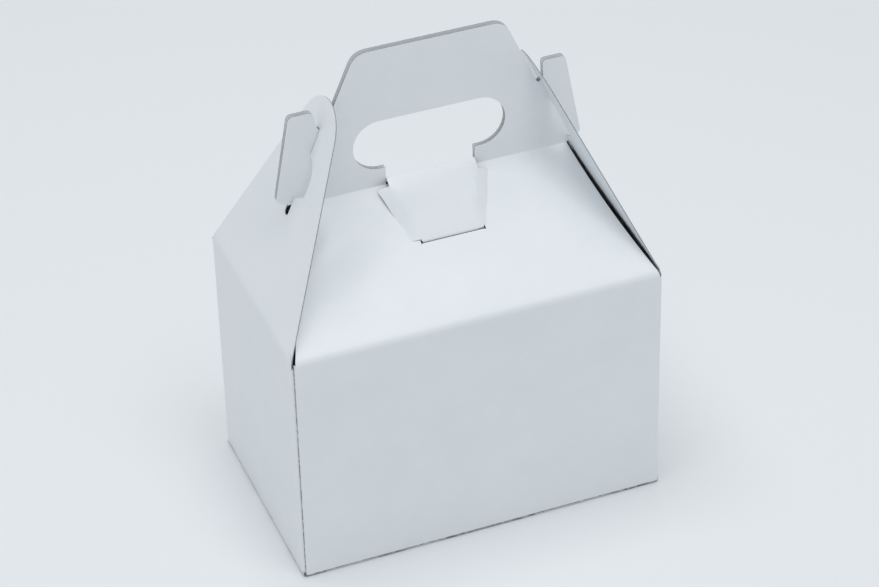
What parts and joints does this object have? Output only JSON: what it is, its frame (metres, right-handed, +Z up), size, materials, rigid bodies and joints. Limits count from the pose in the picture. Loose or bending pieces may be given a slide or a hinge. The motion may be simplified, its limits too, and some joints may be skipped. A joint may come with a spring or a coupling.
{
  "type": "gable box",
  "caption": "Folded card gable box with sloping roof panels, a double carry handle locked by hooks through tall end flaps, and a lock tongue over the front roof panel.",
  "frame": {"origin": "middle of the underside, on the surface that the box stands on", "axes": "+Z up, +X along the long front wall to the right, the front wall facing -Y"},
  "size_m": [0.204, 0.127, 0.2713],
  "materials": {
    "white_card": "white clay-coated card, slightly glossy outside, with a grey core at its cut edges"
  },
  "bodies": {
    "box": {"carton": "white_card"},
    "tongue": {"lock_tongue": "white_card"}
  },
  "joints": [
    {"name": "tongue_fold", "type": "hinge", "parent": "box", "child": "tongue", "pos_m": [-0.0015, 0.00105, 0.19105], "axis": [-1, 0, 0], "range_deg": [0, 75]}
  ]
}
